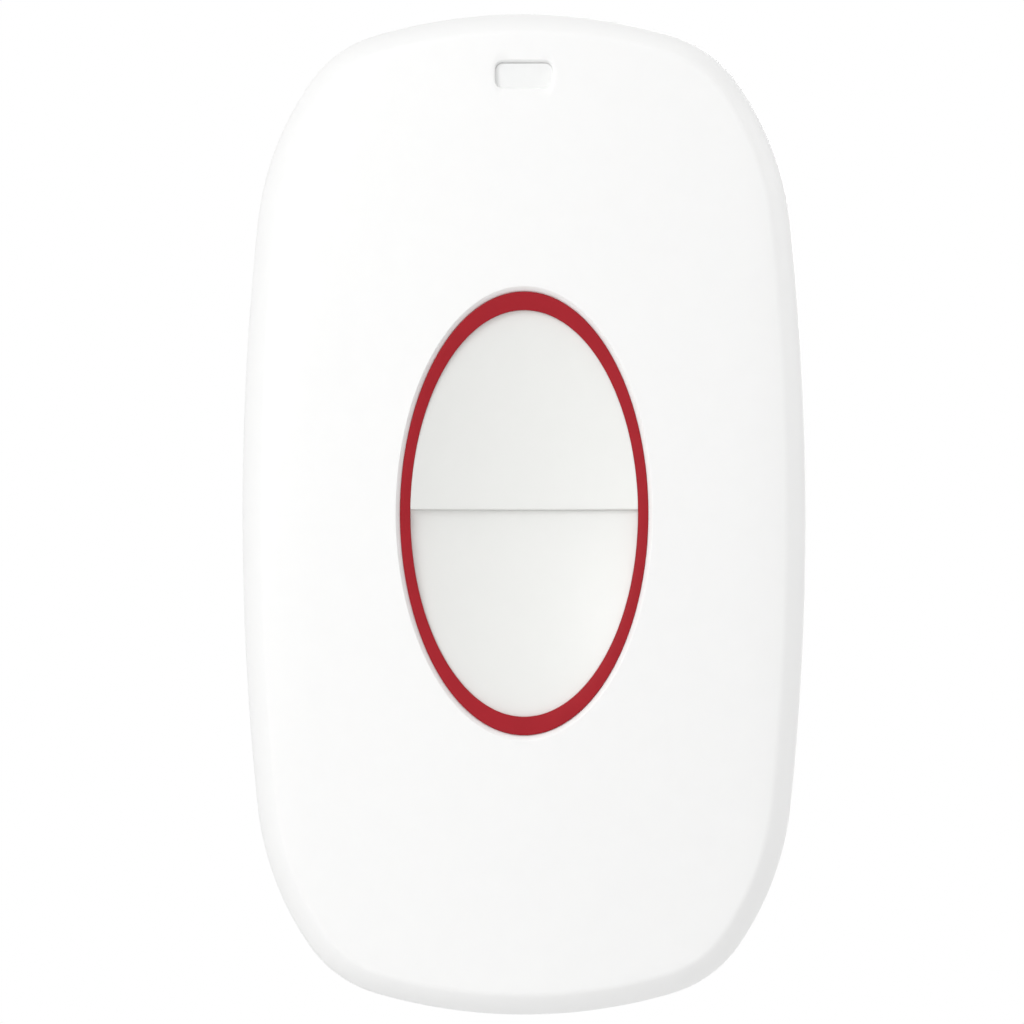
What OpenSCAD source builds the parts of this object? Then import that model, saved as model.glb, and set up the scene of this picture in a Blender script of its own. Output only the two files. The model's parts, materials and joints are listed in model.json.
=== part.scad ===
// Double panic button: a pendant transmitter with two half-oval keys in a red oval ring.
// Modules are drawn with X across, Y up the long axis and Z from the back face to the front.
// The upright step then stands the part up: Z up, the front facing -Y, the back face at y = 0.

/* [Body] */
// Overall width
body_w = 38; // [37.6:0.1:38.4]
// Overall height
body_h = 67.5; // [66.9:0.1:68.1]
// Depth at the middle of the front face
body_d = 14; // [13.9:0.05:14.2]
// Radius of the outline's shoulders
shoulder_r = 20.35; // [19.9:0.05:20.8]
// Radius of the outline's corners
corner_r = 8.19; // [7.9:0.05:8.5]
// Angle at which the long side becomes the shoulder
side_end_angle = 5.9; // [5.7:0.1:6.1]
// Angle at which the shoulder becomes the corner
shoulder_end_angle = 34.8; // [34:0.2:35.6]
// Angle at which the corner becomes the end
corner_end_angle = 73.6; // [73:0.2:74.2]
// Radius of the front's curve across the width
crown_x_r = 108; // [104:1:116]
// Radius of the front's curve along the height
crown_y_r = 278; // [270:1:300]
// Distance from the middle at which the front starts to fall away faster, as a share of the body's width
side_fall_x_share = 0.381579; // [0.378947:0.00132:0.384211]
// Radius of that faster fall at the sides
side_fall_r = 21.7; // [21:0.1:23]
// Radius of the rolled band round the front's edge
rim_r = 4.2; // [4.1:0.05:4.3]
// Angle at which the rolled band meets the face
rim_angle = 50; // [49:0.5:51]
// Angle at which the rolled band meets the side
rim_low_angle = 18; // [17:0.5:19]
// Radius of the back's edge
rear_edge_r = 2; // [1.8:0.05:2.1]
// Thickness of the side walls
side_wall = 1.8; // [1.75:0.05:1.85]
// Thickness of the front wall
front_wall = 1.6; // [1.5:0.05:1.65]
// Thickness of the back wall
back_wall = 1.6; // [1.6:0.02:1.64]
// Height above the back at which the two shells part, as a share of the body's depth
parting_z_share = 0.4; // [0.398571:0.00071:0.401429]
// Visible gap between the shells
parting_gap = 0.08; // [0.06:0.01:0.1]
// Height of the rear shell's tongue
tongue_h = 0.8; // [0.76:0.02:0.84]
// Depth of the outer wall beside the tongue
lip_w = 0.95; // [0.93:0.01:0.97]

/* [Oval opening and ring] */
// Half width of the opening in the front, as a share of the body's width
opening_x_share = 0.222895; // [0.222632:0.00026:0.223684]
// Half height of the opening in the front, as a share of the body's height
opening_y_share = 0.223259; // [0.222963:0.00015:0.223704]
// Width of the broken edge round the opening
opening_edge_w = 0.23; // [0.2:0.01:0.26]
// Depth of the broken edge round the opening
opening_edge_d = 0.3; // [0.28:0.01:0.34]
// Wall of the sleeve below the opening
sleeve_wall = 1.2; // [1.15:0.05:1.25]
// Half width of the ledge under the ring, as a share of the body's width
ledge_x_share = 0.215789; // [0.215263:0.00026:0.216316]
// Half height of the ledge under the ring, as a share of the body's height
ledge_y_share = 0.213333; // [0.213037:0.00015:0.21363]
// Height of the ledge under the ring, as a share of the body's depth
ledge_z_share = 0.785714; // [0.784286:0.00071:0.787143]
// Half width of the red ring, as a share of the body's width
ring_x_share = 0.220263; // [0.219737:0.00026:0.220789]
// Half height of the red ring, as a share of the body's height
ring_y_share = 0.221481; // [0.221185:0.00015:0.221778]
// Inner size of the ring as a share of its outer size
ring_inner_share = 0.917; // [0.916:0.001:0.918]
// Height of the ring's outer edge, as a share of the body's depth
ring_outer_z_share = 0.955714; // [0.952857:0.00071:0.958571]
// Height of the ring's inner edge, as a share of the body's depth
ring_inner_z_share = 0.944286; // [0.941429:0.00071:0.947143]
// Small bevel on the ring's edges
ring_bevel = 0.06; // [0.04:0.01:0.08]

/* [Keys] */
// Half width of the two keys together, as a share of the body's width
key_x_share = 0.198684; // [0.198158:0.00026:0.199211]
// Half height of the two keys together, as a share of the body's height
key_y_share = 0.201333; // [0.201333:0.00015:0.20163]
// Gap between the two keys
key_seam = 0.14; // [0.12:0.01:0.2]
// Radius of the dish across the keys
dish_r = 22; // [21.5:0.25:23]
// Radius of the dish along the keys
dish_long_r = 90; // [87:1:95]
// Height of the dish at its lowest point, as a share of the body's depth
dish_z_share = 0.843571; // [0.84:0.00071:0.847143]
// Half width of the flange that keeps the keys in, as a share of the body's width
flange_x_share = 0.213158; // [0.212632:0.00026:0.213684]
// Half height of the flange that keeps the keys in, as a share of the body's height
flange_y_share = 0.211852; // [0.211556:0.00015:0.212148]
// Height of the flange's underside, as a share of the body's depth
flange_z_share = 0.742857; // [0.741429:0.00071:0.744286]
// Gap between the flange and the ring above it
flange_gap = 0.05; // [0.04:0.01:0.06]
// Wall left round the hollow under a key
key_wall = 1.1; // [1.05:0.05:1.2]
// Height of the hollow's ceiling under a key, as a share of the body's depth
key_hollow_z_share = 0.785714; // [0.782143:0.00357:0.789286]
// Distance of each key's post from the middle, as a share of the body's height
post_y_share = 0.097778; // [0.096296:0.00074:0.099259]
// Radius of each key's post
post_r = 1.6; // [1.5:0.05:1.7]
// Width of the eased edge on the lower key at the seam
seam_ease_w = 1; // [0.9:0.05:1.1]
// Slope of that eased edge
seam_ease_angle = 16; // [14:0.5:17]

/* [Keypad seal] */
// Half width of the seal, as a share of the body's width
seal_pad_x_share = 0.247368; // [0.246053:0.00026:0.247895]
// Half height of the seal, as a share of the body's height
seal_pad_y_share = 0.237037; // [0.235556:0.00030:0.237333]
// Thickness of the seal's skirt
skirt_wall = 1; // [0.95:0.05:1.05]
// Height of the sheet's underside, as a share of the body's depth
sheet_z_share = 0.664286; // [0.662857:0.00071:0.665714]
// Thickness of the sheet
sheet_h = 0.5; // [0.48:0.01:0.52]
// Radius of each moving pad
pad_r = 2.2; // [2.1:0.05:2.25]
// Gap round each moving pad
pad_gap = 0.06; // [0.05:0.01:0.1]

/* [Light window] */
// Width of the window
window_w = 3.85; // [3.8:0.05:3.95]
// Height of the window
window_h = 1.85; // [1.8:0.05:1.9]
// Corner radius of the window
window_r = 0.6; // [0.55:0.01:0.65]
// Distance of the window's middle below the top
window_drop = 4.15; // [4.1:0.05:4.25]
// Depth of the lens below the face
lens_sink = 0.35; // [0.3:0.01:0.4]
// Gap round the lens
lens_gap = 0.05; // [0.04:0.01:0.06]
// Rim of the lens behind the front wall
lens_rim = 0.4; // [0.35:0.01:0.42]
// Depth of the lens rim's underside below the face
lens_stack = 3.02; // [3:0.01:3.04]
// Thickness of the lens rim
lens_rim_h = 0.5; // [0.45:0.01:0.55]
// Width of the tube round the lamps
shroud_w = 5; // [4.9:0.05:5.1]
// Height of the tube round the lamps
shroud_h = 2.5; // [2.4:0.05:2.6]
// Wall of the tube round the lamps
shroud_wall = 0.6; // [0.55:0.01:0.62]
// Distance of each lamp from the middle
lamp_x = 0.95; // [0.9:0.01:1]
// Width of a lamp
lamp_w = 1; // [0.9:0.05:1.1]
// Depth of a lamp along the board
lamp_l = 0.6; // [0.5:0.05:0.7]
// Height of a lamp's base
lamp_h = 0.35; // [0.3:0.01:0.4]
// Radius of a lamp's dome
lamp_dome_r = 0.24; // [0.22:0.01:0.26]

/* [Circuit board] */
// Gap between the outline and the board
board_inset = 2.6; // [2.5:0.05:2.7]
// Height of the board's back face, as a share of the body's depth
board_z_share = 0.45; // [0.448571:0.00071:0.451429]
// Thickness of the board
board_h = 1; // [0.98:0.01:1.02]
// Side of a switch's body
switch_w = 4.5; // [4.4:0.05:4.6]
// Height of a switch's body
switch_h = 1.2; // [1.18:0.01:1.22]
// Thickness of a switch's steel cover
switch_cover_h = 0.2; // [0.18:0.01:0.22]
// Radius of the well inside a switch
switch_well_r = 1.45; // [1.4:0.01:1.5]
// Floor left under the well
switch_floor_h = 0.2; // [0.18:0.01:0.22]
// Radius of a switch's plunger
plunger_r = 1.05; // [1:0.01:1.08]
// Radius of the plunger's foot
plunger_foot_r = 1.35; // [1.3:0.01:1.38]
// Thickness of the plunger's foot
plunger_foot_h = 0.25; // [0.22:0.01:0.27]
// Width of a switch's leg
leg_w = 0.5; // [0.45:0.05:0.55]
// Length of a switch's leg beyond its body
leg_l = 0.7; // [0.6:0.05:0.8]
// Thickness of a switch's leg
leg_h = 0.2; // [0.15:0.01:0.22]
// Spread of a switch's legs
leg_pitch = 3; // [2.8:0.1:3.2]
// Side of the radio chip
chip_w = 4; // [3.9:0.05:4.1]
// Height of the radio chip
chip_h = 0.85; // [0.8:0.01:0.9]
// Distance of the radio chip left of the middle, as a share of the body's width
chip_x_share = 0.084211; // [0.081579:0.00132:0.086842]
// Distance of the radio chip above the middle, as a share of the body's height
chip_y_share = 0.302222; // [0.300741:0.00074:0.303704]
// Radius of the mark on the chip
chip_mark_r = 0.3; // [0.25:0.01:0.35]
// Depth of the mark on the chip
chip_mark_d = 0.05; // [0.04:0.01:0.06]
// Width of the crystal's can
crystal_w = 3.2; // [3.1:0.05:3.3]
// Length of the crystal's can
crystal_l = 2.5; // [2.4:0.05:2.6]
// Height of the crystal's can
crystal_h = 0.7; // [0.65:0.01:0.75]
// Distance of the crystal right of the middle, as a share of the body's width
crystal_x_share = 0.063158; // [0.061842:0.00132:0.065789]
// Distance of the crystal above the middle, as a share of the body's height
crystal_y_share = 0.296296; // [0.294815:0.00074:0.297778]
// Thickness of the crystal's rim
crystal_rim_h = 0.15; // [0.12:0.01:0.2]
// Length of a small resistor or capacitor
small_l = 1.6; // [1.5:0.05:1.7]
// Width of a small resistor or capacitor
small_w = 0.8; // [0.75:0.05:0.85]
// Height of a small resistor or capacitor
small_h = 0.5; // [0.45:0.01:0.55]
// Length of the metal end of a small part
small_end_l = 0.3; // [0.25:0.01:0.35]
// How far the metal end stands proud of the part
small_end_lip = 0.03; // [0.02:0.01:0.04]
// Number of small parts in the upper row
small_row_count = 4; // [3:1:4]
// Spacing of the upper row
small_pitch = 3; // [2.8:0.1:3.2]
// Distance of the upper row above the middle, as a share of the body's height
small_row_y_share = 0.373333; // [0.371852:0.00074:0.374815]
// Distance of the side pair from the middle, as a share of the body's width
small_side_x_share = 0.2; // [0.197368:0.00132:0.202632]
// Distance of the side pair above the middle, as a share of the body's height
small_side_y_share = 0.305185; // [0.303704:0.00074:0.306667]
// Distance of the lower pair from the middle, as a share of the body's width
small_low_x_share = 0.110526; // [0.105263:0.00263:0.115789]
// Distance of the lower pair below the middle, as a share of the body's height
small_low_y_share = 0.287407; // [0.285926:0.00074:0.288889]
// Half span of the antenna strip, as a share of the body's width
antenna_x_share = 0.194737; // [0.189474:0.00263:0.2]
// Distance of the antenna's bridge below the middle, as a share of the body's height
antenna_y_share = 0.407407; // [0.405:0.0005:0.409]
// Length of the antenna's side runs
antenna_l = 5; // [4.8:0.1:5.2]
// Width of the antenna strip
antenna_w = 1; // [0.9:0.05:1.1]
// Thickness of the antenna strip
antenna_h = 0.3; // [0.28:0.01:0.32]
// Height of the antenna's bridge above the board
antenna_z = 1.3; // [1.2:0.05:1.4]

/* [Battery] */
// Radius of the cell
cell_r = 10; // [9.96:0.01:10.02]
// Height of the cell, as a share of the body's depth
cell_h_share = 0.228571; // [0.225714:0.00071:0.229286]
// Height of the cell's can, as a share of the body's depth
can_h_share = 0.210714; // [0.207143:0.00071:0.212143]
// Thickness of the can's steel
can_wall = 0.25; // [0.2:0.01:0.27]
// Width of the can's crimped lip
can_lip = 0.45; // [0.4:0.01:0.48]
// Radius of the cell's cap
cap_r = 8.9; // [8.8:0.01:8.95]
// Bevel round the cap's edge
cap_bevel = 0.25; // [0.2:0.01:0.3]
// Wall of the ring that keeps the cell
holder_wall = 1.05; // [1:0.01:1.08]
// Gap between the cell and its ring
holder_gap = 0.12; // [0.1:0.01:0.14]
// Height of the ring's lower edge, as a share of the body's depth
holder_z_share = 0.214286; // [0.210714:0.00071:0.217857]
// Radius of the ring's pegs in the board
peg_r = 0.4; // [0.38:0.01:0.42]
// Number of pegs
peg_count = 4; // [4:1:4]
// Width of the side contact
plus_w = 4; // [3.8:0.1:4.2]
// Thickness of the contacts
contact_t = 0.2; // [0.18:0.01:0.22]
// Length of the side contact's foot
plus_foot_l = 2.2; // [2:0.1:2.4]
// Height of the side contact's lower edge, as a share of the body's depth
plus_z_share = 0.207143; // [0.203571:0.00071:0.210714]
// Width of the middle contact's base
minus_w = 5; // [4.8:0.1:5.2]
// Length of the middle contact's base
minus_l = 7; // [6.8:0.1:7.2]
// Radius of the middle contact's raised button at the cell
minus_tip_r = 0.9; // [0.8:0.05:1]
// Radius of the middle contact's raised button at the board
minus_base_r = 2; // [1.9:0.05:2.1]

/* [Battery door] */
// Radius of the door's face
door_r = 12; // [11.98:0.01:12.02]
// Thickness of the door's face
door_h = 0.75; // [0.73:0.01:0.76]
// Radius of the door's plug
plug_r = 10.9; // [10.88:0.01:10.92]
// Height of the plug's inner end, as a share of the body's depth
plug_z_share = 0.175; // [0.173571:0.00071:0.175714]
// Running gap round the door
door_gap = 0.1; // [0.08:0.01:0.1]
// Depth of the seat for the door's face
door_seat_h = 0.8; // [0.79:0.01:0.82]
// Reach of the door's lugs
lug_r = 11.85; // [11.8:0.01:11.88]
// Height of the lugs' underside
lug_z = 1.72; // [1.71:0.01:1.74]
// Thickness of the lugs
lug_h = 0.6; // [0.56:0.01:0.62]
// Half angle of a lug
lug_half_angle = 12; // [11:0.5:12.5]
// Half angle of a lug's notch
notch_half_angle = 15; // [14:0.5:16]
// Turn that frees the door
door_turn = 40; // [38:1:42]
// Angle taken by each stop
stop_angle = 4; // [3:0.5:5]
// Length of the coin slot
coin_slot_l = 14; // [13:0.5:15]
// Width of the coin slot
coin_slot_w = 1.8; // [1.6:0.1:2]
// Depth of the coin slot
coin_slot_d = 0.9; // [0.8:0.05:1]
// Half thickness of the door's seal
door_seal_r = 0.22; // [0.2:0.01:0.23]
// Depth of the groove for the door's seal
seal_groove_d = 0.5; // [0.48:0.01:0.52]
// Width of the groove for the door's seal
seal_groove_w = 0.52; // [0.5:0.01:0.54]
// Height of the middle of the groove
seal_groove_z = 1.25; // [1.24:0.01:1.26]

/* [Screws] */
// Distance of the case screws from the middle, across, as a share of the body's width
screw_x_share = 0.302632; // [0.3:0.00132:0.305263]
// Distance of the case screws from the middle, along, as a share of the body's height
screw_y_share = 0.37037; // [0.368889:0.00074:0.371852]
// Radius of a case screw's shank
screw_r = 0.96; // [0.94:0.01:0.98]
// Radius of the hole that a case screw bites into
screw_pilot_r = 1; // [0.99:0.01:1.02]
// Radius of the rear shell's screw holes
screw_hole_r = 1.12; // [1.1:0.01:1.15]
// Radius of a case screw's head
screw_head_r = 1.8; // [1.75:0.01:1.82]
// Height of a case screw's head
screw_head_h = 1.2; // [1.1:0.05:1.25]
// Depth to which the heads are sunk in the back
screw_sink = 0.15; // [0.12:0.01:0.18]
// Radius of the sunk seats
screw_seat_r = 2; // [1.95:0.01:2.05]
// Height of the case screws' tips, as a share of the body's depth
screw_tip_z_share = 0.678571; // [0.671429:0.00357:0.685714]
// Radius of the front shell's screw bosses
front_boss_r = 2.2; // [2.15:0.01:2.22]
// Radius of the rear shell's screw bosses
rear_boss_r = 2.6; // [2.55:0.01:2.62]
// Distance of the board screws from the side
board_screw_side = 5.9; // [5.85:0.01:5.95]
// Distance of the board screws above and below the middle, as a share of the body's height
board_screw_y_share = 0.178; // [0.177:0.0005:0.179]
// Radius of a board screw's shank
board_screw_r = 0.66; // [0.65:0.01:0.67]
// Radius of the hole that a board screw bites into
board_pilot_r = 0.7; // [0.69:0.01:0.71]
// Radius of a board screw's head
board_head_r = 1.35; // [1.3:0.01:1.38]
// Height of a board screw's head
board_head_h = 0.8; // [0.75:0.01:0.82]
// Height of the board screws' tips, as a share of the body's depth
board_tip_z_share = 0.728571; // [0.721429:0.00357:0.735714]
// Radius of the board screws' bosses
board_boss_r = 1.9; // [1.85:0.01:1.95]
// Length of the cross in a screw's head
cross_l = 1.9; // [1.8:0.05:2]
// Width of the cross in a screw's head
cross_w = 0.4; // [0.35:0.01:0.42]
// Depth of the cross in a screw's head
cross_d = 0.5; // [0.45:0.01:0.55]

/* [Back] */
// Half length of the cord pocket, as a share of the body's width
pocket_x_share = 0.157895; // [0.155263:0.00132:0.160526]
// Width of the cord pocket
pocket_w = 4; // [3.9:0.05:4.1]
// Depth of the cord pocket
pocket_d = 3.3; // [3.25:0.01:3.32]
// Height of the cord bar above the middle, as a share of the body's height
bar_y_share = 0.411852; // [0.411111:0.00015:0.412593]
// Distance of the cord bar from the back
bar_z = 1.3; // [1.28:0.01:1.32]
// Radius of the cord bar
bar_r = 0.8; // [0.78:0.01:0.81]
// Half length of the cord bar, as a share of the body's width
bar_x_share = 0.2; // [0.197368:0.00132:0.201316]
// Half length of the block round the pocket, as a share of the body's width
pocket_block_x_share = 0.223684; // [0.222368:0.00026:0.225]
// Width of the block round the pocket
pocket_block_w = 6.4; // [6.3:0.05:6.45]
// Height of the block round the pocket
pocket_block_h = 4.4; // [4.35:0.01:4.45]
// Distance of the bracket holes from the middle, as a share of the body's height
bracket_y_share = 0.325926; // [0.324444:0.00074:0.327407]
// Radius of the bracket holes
bracket_hole_r = 0.85; // [0.83:0.01:0.87]
// Depth of the bracket holes
bracket_hole_d = 2.4; // [2.3:0.05:2.5]
// Radius of the bosses behind the bracket holes
bracket_boss_r = 1.9; // [1.85:0.01:1.92]
// Height of the bosses behind the bracket holes
bracket_boss_h = 3.4; // [3.3:0.05:3.5]
// Width of the blank label, as a share of the body's width
label_w_share = 0.394737; // [0.381579:0.00263:0.4]
// Height of the blank label
label_h = 4.2; // [4:0.05:4.3]
// Distance of the label below the middle, as a share of the body's height
label_y_share = 0.411852; // [0.41037:0.00074:0.413333]
// Thickness of the label
label_t = 0.1; // [0.08:0.01:0.11]
// Depth of the label's recess
label_sink = 0.13; // [0.12:0.01:0.15]

/* [Fits] */
// Gap where two pieces rest on each other
seat_gap = 0.02; // [0.015:0.001:0.025]
// Radial gap where a pin or peg sits in a hole
pin_gap = 0.02; // [0.015:0.001:0.03]
// Gap round small fitted pieces
loose_gap = 0.1; // [0.08:0.01:0.12]
// Overrun of every cut beyond what it cuts
cut = 0.5; // [0.4:0.05:0.6]

/* [Hidden] */
$fn = 144;
half_w = body_w / 2;
half_h = body_h / 2;
side_fall_x = side_fall_x_share * body_w;
opening_x = opening_x_share * body_w;
ledge_x = ledge_x_share * body_w;
ring_x = ring_x_share * body_w;
key_x = key_x_share * body_w;
flange_x = flange_x_share * body_w;
seal_pad_x = seal_pad_x_share * body_w;
screw_x = screw_x_share * body_w;
antenna_x = antenna_x_share * body_w;
antenna_y = -antenna_y_share * body_h;
pocket_x = pocket_x_share * body_w;
bar_x = bar_x_share * body_w;
pocket_block_x = pocket_block_x_share * body_w;
label_w = label_w_share * body_w;
chip_x = chip_x_share * body_w;
crystal_x = crystal_x_share * body_w;
small_side_x = small_side_x_share * body_w;
small_low_x = small_low_x_share * body_w;
opening_y = opening_y_share * body_h;
ledge_y = ledge_y_share * body_h;
ring_y = ring_y_share * body_h;
key_y = key_y_share * body_h;
flange_y = flange_y_share * body_h;
seal_pad_y = seal_pad_y_share * body_h;
post_y = post_y_share * body_h;
screw_y = screw_y_share * body_h;
bracket_y = bracket_y_share * body_h;
bar_y = bar_y_share * body_h;
label_y = label_y_share * body_h;
chip_y = chip_y_share * body_h;
crystal_y = crystal_y_share * body_h;
small_row_y = small_row_y_share * body_h;
small_side_y = small_side_y_share * body_h;
small_low_y = small_low_y_share * body_h;
parting_z = parting_z_share * body_d;
ledge_z = ledge_z_share * body_d;
ring_outer_z = ring_outer_z_share * body_d;
ring_inner_z = ring_inner_z_share * body_d;
dish_z = dish_z_share * body_d;
flange_z = flange_z_share * body_d;
key_hollow_z = key_hollow_z_share * body_d;
sheet_z = sheet_z_share * body_d;
board_z = board_z_share * body_d;
screw_tip_z = screw_tip_z_share * body_d;
board_tip_z = board_tip_z_share * body_d;
holder_z = holder_z_share * body_d;
plus_z = plus_z_share * body_d;
plug_z = plug_z_share * body_d;
cell_h = cell_h_share * body_d;
can_h = can_h_share * body_d;
window_y = half_h - window_drop;
board_screw_x = half_w - board_screw_side;
board_screw_y = board_screw_y_share * body_h;
flange_h = ledge_z - flange_z - flange_gap;
side_steps = 6;
shoulder_steps = 5;
corner_steps = 6;
end_steps = 6;

// Outline: four tangent arcs in each quarter, whose outer two radii close the curve
arc_ends = [0, side_end_angle, shoulder_end_angle, corner_end_angle, 90];
cos_span = [for (i = [0:3]) cos(arc_ends[i]) - cos(arc_ends[i + 1])];
sin_span = [for (i = [0:3]) sin(arc_ends[i + 1]) - sin(arc_ends[i])];
left_x = half_w - shoulder_r * cos_span[1] - corner_r * cos_span[2];
left_y = half_h - shoulder_r * sin_span[1] - corner_r * sin_span[2];
closing = cos_span[0] * sin_span[3] - cos_span[3] * sin_span[0];
side_r = (left_x * sin_span[3] - left_y * cos_span[3]) / closing;
end_r = (cos_span[0] * left_y - sin_span[0] * left_x) / closing;
arc_r = [side_r, shoulder_r, corner_r, end_r];
function unit(angle) = [cos(angle), sin(angle)];
centre_0 = [half_w - side_r, 0];
centre_1 = centre_0 + (side_r - shoulder_r) * unit(side_end_angle);
centre_2 = centre_1 + (shoulder_r - corner_r) * unit(shoulder_end_angle);
centre_3 = centre_2 + (corner_r - end_r) * unit(corner_end_angle);
arc_centre = [centre_0, centre_1, centre_2, centre_3];
arc_steps = [side_steps, shoulder_steps, corner_steps, end_steps];
function arc_angle(i, share) = arc_ends[i] + share * (arc_ends[i + 1] - arc_ends[i]);
quarter = [for (i = [0:3]) for (k = [0:arc_steps[i] - 1]) arc_angle(i, k / arc_steps[i])];
quarter_n = len(quarter);
quarter_back = [for (i = [0:quarter_n - 1]) i == 0 ? 90 : 180 - quarter[quarter_n - i]];
half_turn = concat(quarter, [90], [for (i = [1:quarter_n - 1]) quarter_back[i]]);
normals = concat(half_turn, [for (a = half_turn) a + 180]);
n = len(normals);
function folded(angle) = abs(angle % 180 > 90 ? 180 - angle % 180 : angle % 180);
function arc_of(angle) = angle < arc_ends[1] ? 0 : angle < arc_ends[2] ? 1 : angle < arc_ends[3] ? 2 : 3;
function side_sign(v) = v < 0 ? -1 : 1;
function outline_point(i, inset) =
  let (a = normals[i], m = arc_of(folded(a)), c = arc_centre[m], u = unit(a))
  [side_sign(u[0]) * c[0], side_sign(u[1]) * c[1]] + (arc_r[m] - inset) * u;
function outline(inset) = [for (i = [0:n - 1]) outline_point(i, inset)];

// Oval rings share the outline's steps, so that the face between them is one smooth skin
function oval_point(i, rx, ry) =
  let (p = outline_point(i, 0), u = atan2(p[1] / opening_y, p[0] / opening_x))
  [rx * cos(u), ry * sin(u)];
function between(p, q, share) = p + share * (q - p);
function side_drop(x) = pow(max(0, abs(x) - side_fall_x), 2) / (2 * side_fall_r);
function face_z(p) = body_d - p[0] * p[0] / (2 * crown_x_r) - p[1] * p[1] / (2 * crown_y_r) - side_drop(p[0]);
function lift(p, z) = [p[0], p[1], z];
lens_z = face_z([0, window_y]) - lens_stack;
function rim_inset(angle) = rim_r * (cos(rim_low_angle) - cos(angle));
crease_inset = rim_inset(rim_angle);
function crease_z(i) = face_z(outline_point(i, crease_inset));
rim_steps = 3;
face_shares = [0.3, 0.65];
inner_share = 0.5;
inner_corner_w = 1.4;
inner_corner_h = 3.2;
sheet_top_z = sheet_z + sheet_h;
sleeve_z = sheet_top_z + loose_gap / 2;
tongue_z = parting_z + tongue_h;
rebate_z = tongue_z + 3 * loose_gap;
front_edge_z = parting_z + parting_gap;
board_top_z = board_z + board_h;
cell_z = plug_z + seat_gap;
inner_inset = side_wall + inner_corner_w;

function opening_ring(grow, drop) =
  [for (i = [0:n - 1])
    let (p = oval_point(i, opening_x + grow, opening_y + grow))
    lift(p, face_z(p) - drop)];
function oval_ring(rx, ry, z) = [for (i = [0:n - 1]) lift(oval_point(i, rx, ry), z)];
function face_ring(share, grow, inset, drop) =
  [for (i = [0:n - 1])
    let (p = between(oval_point(i, opening_x + grow, opening_y + grow), outline_point(i, inset), share))
    lift(p, face_z(p) - drop)];
function rim_ring(angle) =
  [for (i = [0:n - 1])
    lift(outline_point(i, rim_inset(angle)), crease_z(i) - rim_r * (sin(rim_angle) - sin(angle)))];
function flat_ring(inset, z) = [for (i = [0:n - 1]) lift(outline_point(i, inset), z)];
function inner_corner_ring() =
  [for (i = [0:n - 1])
    lift(outline_point(i, side_wall), crease_z(i) - inner_corner_h)];

front_rings = concat(
  [opening_ring(0, opening_edge_d)],
  [opening_ring(opening_edge_w, 0)],
  [for (s = face_shares) face_ring(s, opening_edge_w, crease_inset, 0)],
  [for (k = [rim_steps:-1:0]) rim_ring(rim_low_angle + (rim_angle - rim_low_angle) * k / rim_steps)],
  [flat_ring(0, front_edge_z)],
  [flat_ring(lip_w, front_edge_z)],
  [flat_ring(lip_w, rebate_z)],
  [flat_ring(side_wall, rebate_z)],
  [inner_corner_ring()],
  [face_ring(1, sleeve_wall, inner_inset, front_wall)],
  [face_ring(inner_share, sleeve_wall, inner_inset, front_wall)],
  [face_ring(0, sleeve_wall, inner_inset, front_wall)],
  [oval_ring(opening_x + sleeve_wall, opening_y + sleeve_wall, sleeve_z)],
  [oval_ring(ledge_x, ledge_y, sleeve_z)],
  [oval_ring(ledge_x, ledge_y, ledge_z)],
  [oval_ring(opening_x, opening_y, ledge_z)]
);
edge_steps = 4;
function edge_ring(angle) = flat_ring(rear_edge_r * (1 - cos(angle)), rear_edge_r * (1 - sin(angle)));
rear_rings = concat(
  [flat_ring(side_wall, back_wall)],
  [flat_ring(side_wall, tongue_z)],
  [flat_ring(lip_w + loose_gap / 2, tongue_z)],
  [flat_ring(lip_w + loose_gap / 2, parting_z)],
  [flat_ring(0, parting_z)],
  [for (k = [0:edge_steps]) edge_ring(90 * k / edge_steps)]
);

// Skin through a list of rings, either closed on itself or capped at both ends
module ring_skin(rings, closed) {
  m = len(rings);
  last = closed ? m - 1 : m - 2;
  walls = [for (j = [0:last]) for (i = [0:n - 1])
    let (k = (i + 1) % n, next = ((j + 1) % m) * n)
    let (a = j * n + i, b = j * n + k, c = next + i, d = next + k)
    each [[a, b, d], [a, d, c]]];
  caps = closed ? [] : [[for (i = [n - 1:-1:0]) i], [for (i = [0:n - 1]) (m - 1) * n + i]];
  polyhedron(points = [for (r = rings) each r], faces = concat(walls, caps));
}

module upright() {
  rotate([90, 0, 0])
    children();
}

module at_screws() {
  for (x = [-screw_x, screw_x])
    for (y = [-screw_y, screw_y])
      translate([x, y, 0])
        children();
}

module at_board_screws() {
  for (side = [-1, 1])
    translate([side * board_screw_x, -side * board_screw_y, 0])
      children();
}

module oval_prism(rx, ry, h) {
  scale([rx / ry, 1, 1])
    cylinder(r = ry, h = h);
}

// Rounded rectangle as points, centred
function rounded_points(w, h, r) =
  [for (q = [0:3]) for (k = [0:corner_steps])
    let (a = 90 * q + 90 * k / corner_steps, sx = (q == 0 || q == 3) ? 1 : -1, sy = q < 2 ? 1 : -1)
    [sx * (w / 2 - r) + r * cos(a), sy * (h / 2 - r) + r * sin(a)]];

module rounded_prism(w, h, r, z) {
  linear_extrude(z)
    polygon(rounded_points(w, h, r));
}

module sector(r_in, r_out, h, middle, half_angle) {
  rotate([0, 0, middle - half_angle])
    rotate_extrude(angle = 2 * half_angle)
      translate([r_in, 0])
        square([r_out - r_in, h]);
}

screw_boss_top = face_z([screw_x, screw_y]) - front_wall / 2;
board_boss_top = face_z([board_screw_x, board_screw_y]) - front_wall / 2;
pilot_spare = 0.3;

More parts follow.
